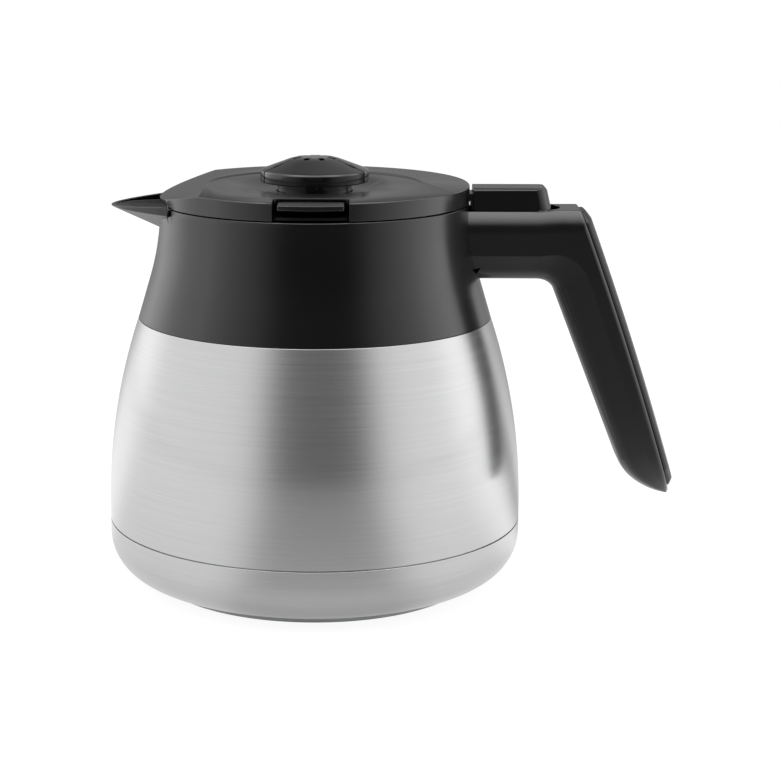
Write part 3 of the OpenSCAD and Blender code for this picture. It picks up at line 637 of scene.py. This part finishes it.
def channel(name, start, low):
    """A block in the shape of the channel in the arm, with round corners behind the lever."""
    half = [Vector((start, CHANNEL_HALF, 0))]
    for i in range(CHANNEL_STEPS + 1):
        angle = radians(90 - 90 * i / CHANNEL_STEPS)
        x = CHANNEL_CORNER_X + CHANNEL_CORNER * cos(angle)
        y = CHANNEL_HALF - CHANNEL_CORNER + CHANNEL_CORNER * sin(angle)
        half.append(Vector((x, y, 0)))
    rings = [[Vector((p.x, p.y, z)) for p in both_halves(half)] for z in (low, CROWN_TOP + CHANNEL_OVER)]
    return add_object(name, loft(name, rings))


def cut(mesh, blocks):
    """The mesh with blocks taken out of it."""
    piece = add_object("cut", mesh)
    for block in blocks:
        boolean = piece.modifiers.new("cut", "BOOLEAN")
        boolean.operation = "DIFFERENCE"
        boolean.solver = "EXACT"
        boolean.object = block
    graph = bpy.context.evaluated_depsgraph_get()
    result = bpy.data.meshes.new_from_object(piece.evaluated_get(graph))
    for item in [piece] + blocks:
        bpy.data.objects.remove(item)
    return result


def handle_shell():
    rings = list(shell_rings())
    rings[0] = seat_on_collar(rings[0])
    blocks = [channel("channel_deep", DEEP_START, DEEP_FLOOR),
        channel("channel_shallow", SHALLOW_START, SHALLOW_FLOOR)]
    mesh = cut(loft("handle_shell_form", rings), blocks)
    mesh.name = "handle_shell_form"
    piece = add_piece("handle_shell_form", mesh, "handle_shell", SHELL_SHARP)
    round_edges(piece, HANDLE_ROUNDING, SHELL_SHARP)


def handle_cover(count=96):
    """A slim cover on the back, which grows from less depth and width at its two ends."""
    section = curve(COVER_SECTION, SECTION_STEPS)
    rings = []
    for i in range(count + 1):
        u = ease(i / count)
        z = mix(COVER_TOP, COVER_END, u)
        top_swell = sqrt(COVER_TOP_SWELL + u / COVER_TOP_RUN)
        end_swell = sqrt(COVER_END_SWELL + (1 - u) / COVER_END_RUN)
        swell = min(1, top_swell, end_swell)
        top_width = COVER_TOP_WIDTH + COVER_TOP_WIDENING * u
        end_width = COVER_END_WIDTH + COVER_END_WIDENING * (1 - u)
        half_width = COVER_HALF * min(1, top_width, end_width)
        half = []
        for share, width in section:
            place = back_point(z, COVER_SEAT + share * (COVER_DEPTH - COVER_SEAT) * swell)
            half.append(Vector((place.x, width * half_width, place.y)))
        rings.append(both_halves(half))
    piece = add_piece("handle_cover_form", loft("handle_cover_form", rings), "handle_cover", COVER_SHARP)
    round_edges(piece, HANDLE_ROUNDING, COVER_SHARP)


handle_shell()
handle_cover()


# Studio: a pale floor, and a world whose light panels show in glossy surfaces.
# Both take their brightness in glossy surfaces from the angle round the object, the floor's being painted
# light: a panel is an angle in degrees, from the front towards the handle, and a brightness.
FLOOR_HALF = 3000
FLOOR_DROP = 0.02
FLOOR_COLOR = (0.9, 0.9, 0.9, 1)
SHADOW_SHARE = 0.2
FLOOR_GLOW = 1.12
# The floor's painted light in glossy surfaces: its level near the object, the panels' share kept there, and
# how far that painted pool of light reaches
NEAR_FLOOR_PAINTED_LIGHT = 0.5
FLOOR_SHARE = 0.4
NEAR_RADIUS = 90
NEAR_POWER = 1.5
AMBIENT = 0.5
OVERHEAD = 4.5
OVERHEAD_LOW = 34
OVERHEAD_HIGH = 56
FRONT_FULL = -0.4
LIGHT_TARGET = Vector((0, 0, 90))
WHITE = (1, 1, 1, 1)
PANEL_LEVEL = 2
PANELS = [(-180, 0.35), (-165, 0.25), (-154, 0.45), (-146, 0.9), (-138, 1.45), (-121, 1.6), (-104, 1.15),
    (-64, 1.1), (-40, 1.08), (-30, 0.82), (-22, 0.36), (-14, 0.2), (14, 0.18), (27, 0.24), (35, 0.6),
    (44, 1), (57, 1.12), (80, 1.2), (94, 1.55), (104, 1.75), (112, 1.4), (118, 0.8), (124, 0.35), (130, 0.4),
    (136, 1.1), (144, 0.85), (152, 0.4), (180, 0.35)]


def panel_light(tree, x, y):
    """The panels' brightness in the direction (x, y)."""
    angle = calc(tree, "ARCTAN2", x, calc(tree, "MULTIPLY", y, -1.0))
    share = calc(tree, "ADD", calc(tree, "DIVIDE", angle, 2 * pi), 0.5)
    ramp = add_node(tree, "ShaderNodeValToRGB")
    feed(tree, ramp.inputs["Fac"], share)
    stops = ramp.color_ramp.elements
    stops.remove(stops[-1])
    for i, (degree, level) in enumerate(PANELS):
        place = degree / 360 + 0.5
        stop = stops.new(place) if i else stops[0]
        stop.position = place
        stop.color = [level / PANEL_LEVEL] * 3 + [1]
    return calc(tree, "MULTIPLY", ramp.outputs["Color"], PANEL_LEVEL)


def make_floor():
    """A floor that is white to the camera, holds a faint shadow, and glows in glossy surfaces with painted
    light: the panels' brightness by the angle round it, turned towards a set level near the object.
    """
    mesh = bpy.data.meshes.new("floor")
    half = FLOOR_HALF * MM
    corners = [(-half, -half, 0), (half, -half, 0), (half, half, 0), (-half, half, 0)]
    mesh.from_pydata(corners, [], [(0, 1, 2, 3)])
    floor = add_object("floor", mesh)
    floor.location.z = -FLOOR_DROP * MM
    material, tree, shader = new_material("floor")
    shader.inputs["Base Color"].default_value = FLOOR_COLOR
    shader.inputs["Roughness"].default_value = 0.8
    x, y = split_axes(tree, own_position(tree))[:2]
    # Painted light: to glossy rays the floor glows with the panels' brightness by angle, moved towards a set
    # level near the object as a painted pool of light
    nearness = calc(tree, "DIVIDE", NEAR_RADIUS * MM, axis_distance(tree, x, y))
    near = calc(tree, "MINIMUM", calc(tree, "POWER", nearness, NEAR_POWER), 1.0)
    panels = panel_light(tree, x, y)
    painted_near_change = calc(tree, "SUBTRACT", NEAR_FLOOR_PAINTED_LIGHT, calc(tree, "MULTIPLY", panels, 1 - FLOOR_SHARE))
    mirrored = calc(tree, "ADD", panels, calc(tree, "MULTIPLY", near, painted_near_change))
    path = add_node(tree, "ShaderNodeLightPath").outputs
    direct = calc(tree, "MULTIPLY", path["Is Camera Ray"], FLOOR_GLOW)
    other = calc(tree, "MULTIPLY", calc(tree, "SUBTRACT", 1.0, path["Is Camera Ray"]), mirrored)
    glow = add_node(tree, "ShaderNodeEmission")
    glow.inputs["Color"].default_value = WHITE
    feed(tree, glow.inputs["Strength"], calc(tree, "ADD", direct, other))
    sharp_rays = calc(tree, "MAXIMUM", path["Is Glossy Ray"], path["Is Transmission Ray"])
    seen = calc(tree, "MAXIMUM", path["Is Camera Ray"], sharp_rays)
    share = calc(tree, "MULTIPLY", seen, 1 - SHADOW_SHARE)
    surface = mixed_shader(tree, share, shader.outputs[0], glow.outputs[0])
    feed(tree, tree.nodes["Material Output"].inputs["Surface"], surface)
    mesh.materials.append(material)


make_floor()


def background(tree, strength):
    node = add_node(tree, "ShaderNodeBackground")
    node.inputs["Color"].default_value = WHITE
    feed(tree, node.inputs["Strength"], strength)
    return node.outputs[0]


def make_world():
    """White to the camera, the panels and an overhead light to glossy rays, and plain to the rest."""
    world = bpy.data.worlds.new("studio")
    world.use_nodes = True
    bpy.context.scene.world = world
    tree = world.node_tree
    tree.nodes.clear()
    x, y, z = split_axes(tree, add_node(tree, "ShaderNodeTexCoord").outputs["Generated"])
    path = add_node(tree, "ShaderNodeLightPath").outputs
    around = panel_light(tree, x, y)
    low = sin(radians(OVERHEAD_LOW))
    high = sin(radians(OVERHEAD_HIGH))
    overhead = span(tree, z, 0, OVERHEAD, start=low, end=high)
    front = span(tree, y, 1, 0, start=FRONT_FULL, end=0)
    mirrored = calc(tree, "ADD", around, calc(tree, "MULTIPLY", overhead, front))
    plain = background(tree, AMBIENT)
    lit = mixed_shader(tree, path["Is Glossy Ray"], plain, background(tree, mirrored))
    seen = mixed_shader(tree, path["Is Camera Ray"], lit, background(tree, 1.0))
    feed(tree, add_node(tree, "ShaderNodeOutputWorld").inputs["Surface"], seen)


make_world()


def soft_light(name, place, size, watts):
    """A soft box at a place in millimetres, aimed at the object, which glossy surfaces don't show."""
    data = bpy.data.lights.new(name, "AREA")
    data.shape = "RECTANGLE"
    data.size = size[0] * MM
    data.size_y = size[1] * MM
    data.energy = watts
    light = add_object(name, data)
    light.location = Vector(place) * MM
    back = Vector(place) - LIGHT_TARGET
    light.rotation_euler = back.to_track_quat("Z", "Y").to_euler()
    light.visible_glossy = False


soft_light("key_left", place=(-900, -500, 900), size=(700, 900), watts=7)
soft_light("fill_right", place=(900, -300, 700), size=(600, 900), watts=5)
soft_light("top", place=(0, 200, 1200), size=(900, 900), watts=6)

bpy.context.scene.view_settings.view_transform = "Standard"
